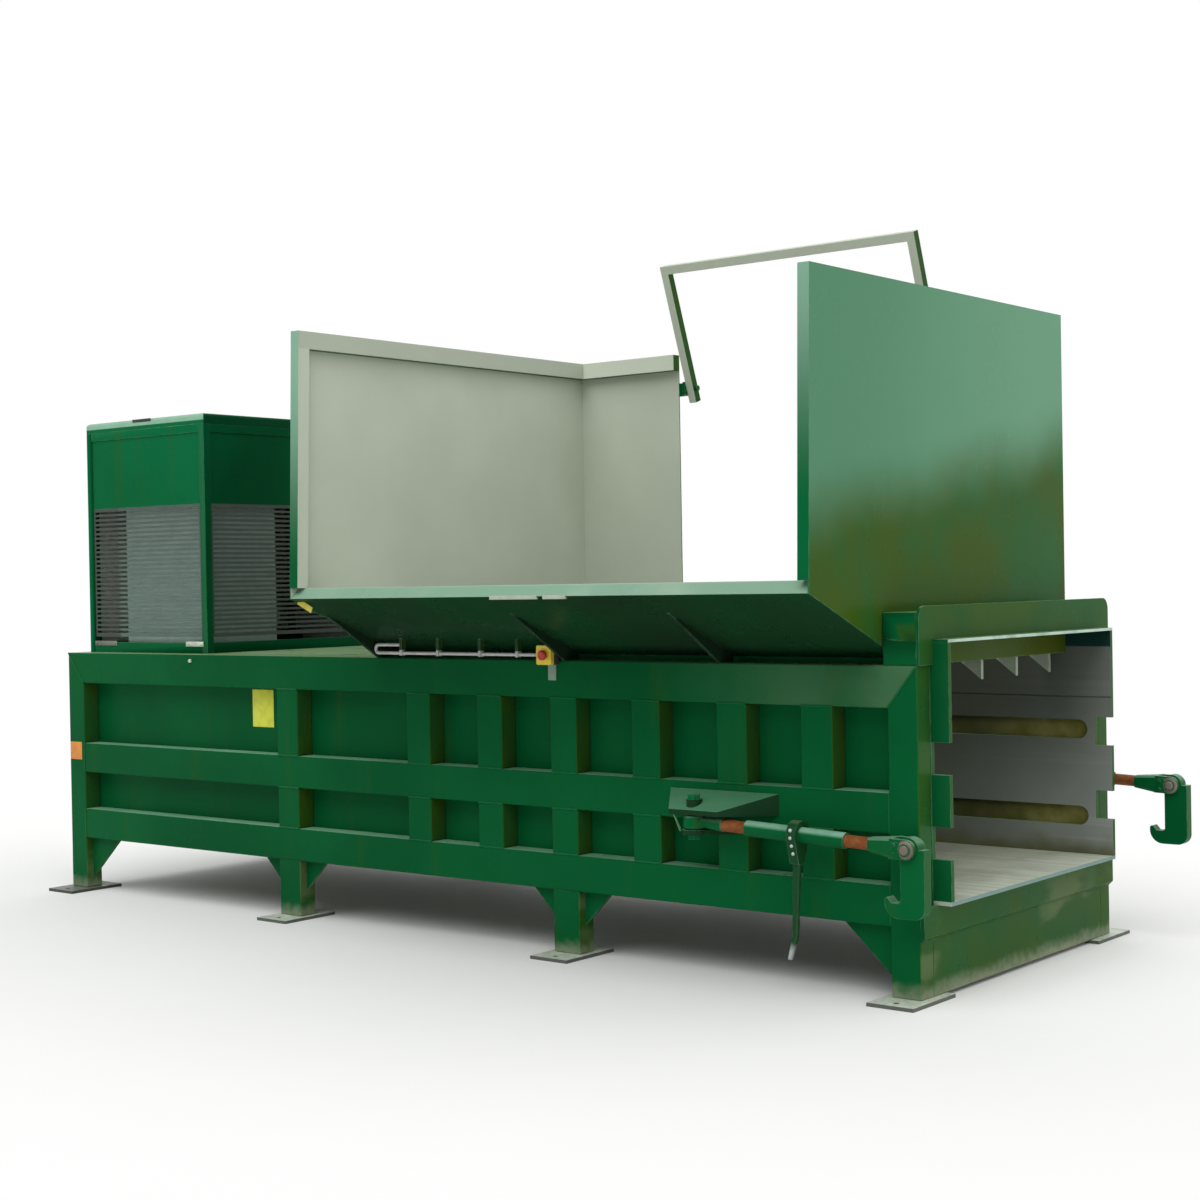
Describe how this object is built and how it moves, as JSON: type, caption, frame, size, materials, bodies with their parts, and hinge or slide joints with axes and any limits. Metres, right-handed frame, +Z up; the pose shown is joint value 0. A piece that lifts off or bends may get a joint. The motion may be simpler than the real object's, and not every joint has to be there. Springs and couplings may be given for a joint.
{
  "type": "stationary waste compactor",
  "caption": "Stationary waste compactor: a ram box on legs with a loading hopper, a power pack housing, an emergency stop and ratchet binders beside its castellated discharge mouth.",
  "frame": {"origin": "on the floor, midway between the four corner anchor holes", "axes": "+X out of the discharge mouth, -Y toward the operator side with the chute, +Z up"},
  "size_m": [5.6632, 2.402, 3.2368],
  "materials": {
    "body_paint": "gloss",
    "worn_steel": "worn",
    "screen_paint": "satin",
    "galvanised": "dull",
    "binder_steel": "satin",
    "tank_paint": "satin",
    "motor_paint": "satin",
    "valve_steel": "satin",
    "cabinet_paint": "satin",
    "rod_chrome": "polished",
    "estop_yellow": "satin",
    "estop_red": "satin",
    "conduit_grey": "satin"
  },
  "bodies": {
    "compactor": {"binder_bolts": "binder_steel", "binder_brackets": "body_paint", "chute": "body_paint", "chute_gussets": "body_paint", "conduit": "conduit_grey", "conduit_clips": "galvanised", "control_cabinet": "cabinet_paint", "cylinder_anchor": "body_paint", "cylinder_barrel": "motor_paint", "end_posts": "body_paint", "estop_box": "estop_yellow", "estop_plate": "body_paint", "floor_bearers": "body_paint", "floor_plate": "worn_steel", "foot_plates": "galvanised", "hood_plate": "body_paint", "hoop_lugs": "body_paint", "hopper_left_wall": "body_paint", "hopper_right_wall": "body_paint", "hopper_wings": "body_paint", "inner_posts": "body_paint", "leg_gussets": "body_paint", "liners": "worn_steel", "lintel": "body_paint", "lower_rails": "body_paint", "mid_legs": "body_paint", "mouth_beam": "body_paint", "mouth_top_plate": "body_paint", "oil_tank": "tank_paint", "pack_frame": "body_paint", "pack_panels": "body_paint", "pack_roof": "body_paint", "pack_screens": "screen_paint", "pump_set": "motor_paint", "rear_bulkhead": "body_paint", "rear_deck": "body_paint", "rear_sill": "body_paint", "retaining_teeth": "body_paint", "side_plates": "body_paint", "sill": "body_paint", "skirt": "body_paint", "top_rails": "body_paint", "valve_block": "valve_steel"},
    "ram": {"ram": "worn_steel", "ram_shoes": "worn_steel", "cylinder_rod": "rod_chrome"},
    "cylinder_stage": {"cylinder_stage": "rod_chrome"},
    "estop_button": {"estop_button": "estop_red"},
    "rear_hoop": {"rear_hoop": "body_paint"},
    "near_binder": {"near_eye_rod": "body_paint"},
    "near_turnbuckle": {"near_turnbuckle": "body_paint"},
    "near_handle": {"near_handle": "binder_steel"},
    "near_fork": {"near_fork": "body_paint"},
    "near_hook": {"near_hook": "body_paint"},
    "far_binder": {"far_eye_rod": "body_paint"},
    "far_turnbuckle": {"far_turnbuckle": "body_paint"},
    "far_handle": {"far_handle": "binder_steel"},
    "far_fork": {"far_fork": "body_paint"},
    "far_hook": {"far_hook": "body_paint"}
  },
  "joints": [
    {"name": "ram_slide", "type": "slide", "parent": "compactor", "child": "ram", "axis": [1, 0, 0], "range_m": [0, 2.2]},
    {"name": "stage_slide", "type": "slide", "parent": "compactor", "child": "cylinder_stage", "axis": [1, 0, 0], "range_m": [0, 1.1]},
    {"name": "estop_press", "type": "slide", "parent": "compactor", "child": "estop_button", "axis": [0, 1, 0], "range_m": [0, 0.006]},
    {"name": "hoop_tilt", "type": "hinge", "parent": "compactor", "child": "rear_hoop", "pos_m": [1.172, 0.737, 2.625], "axis": [-1, 0, 0], "range_deg": [0, 75]},
    {"name": "near_swing", "type": "hinge", "parent": "compactor", "child": "near_binder", "pos_m": [1.668, -0.968, 0.655], "axis": [0, 0, -1], "range_deg": [-3, 100]},
    {"name": "near_turn", "type": "hinge", "parent": "near_binder", "child": "near_turnbuckle", "pos_m": [1.668, -0.968, 0.655], "axis": [0.9992, 0, -0.0401], "range_deg": [-1800, 1800]},
    {"name": "near_take_up", "type": "slide", "parent": "near_binder", "child": "near_fork", "axis": [0.9992, 0, -0.0401], "range_m": [-0.0601, 0.0601]},
    {"name": "near_handle_swing", "type": "hinge", "parent": "near_binder", "child": "near_handle", "pos_m": [1.668, -0.968, 0.655], "axis": [-0.9992, 0, 0.0401], "range_deg": [-8, 120]},
    {"name": "near_hook_swing", "type": "hinge", "parent": "near_fork", "child": "near_hook", "pos_m": [2.67219, -0.968, 0.61467], "axis": [0, -1, 0], "range_deg": [-20, 120]},
    {"name": "far_swing", "type": "hinge", "parent": "compactor", "child": "far_binder", "pos_m": [1.905, 0.968, 0.731], "axis": [0, 0, 1], "range_deg": [-3, 100]},
    {"name": "far_turn", "type": "hinge", "parent": "far_binder", "child": "far_turnbuckle", "pos_m": [1.905, 0.968, 0.731], "axis": [0.9992, 0, -0.0401], "range_deg": [-1800, 1800]},
    {"name": "far_take_up", "type": "slide", "parent": "far_binder", "child": "far_fork", "axis": [0.9992, 0, -0.0401], "range_m": [-0.0601, 0.0601]},
    {"name": "far_handle_swing", "type": "hinge", "parent": "far_binder", "child": "far_handle", "pos_m": [1.905, 0.968, 0.731], "axis": [0.9992, 0, -0.0401], "range_deg": [-8, 120]},
    {"name": "far_hook_swing", "type": "hinge", "parent": "far_fork", "child": "far_hook", "pos_m": [2.90919, 0.968, 0.69067], "axis": [0, -1, 0], "range_deg": [-20, 120]}
  ],
  "couplings": [
    {"joint": "stage_slide", "follows": "ram_slide", "ratio": 0.5},
    {"joint": "near_take_up", "follows": "near_turn", "m_per_rad": 0.0019099},
    {"joint": "far_take_up", "follows": "far_turn", "m_per_rad": 0.0019099}
  ]
}
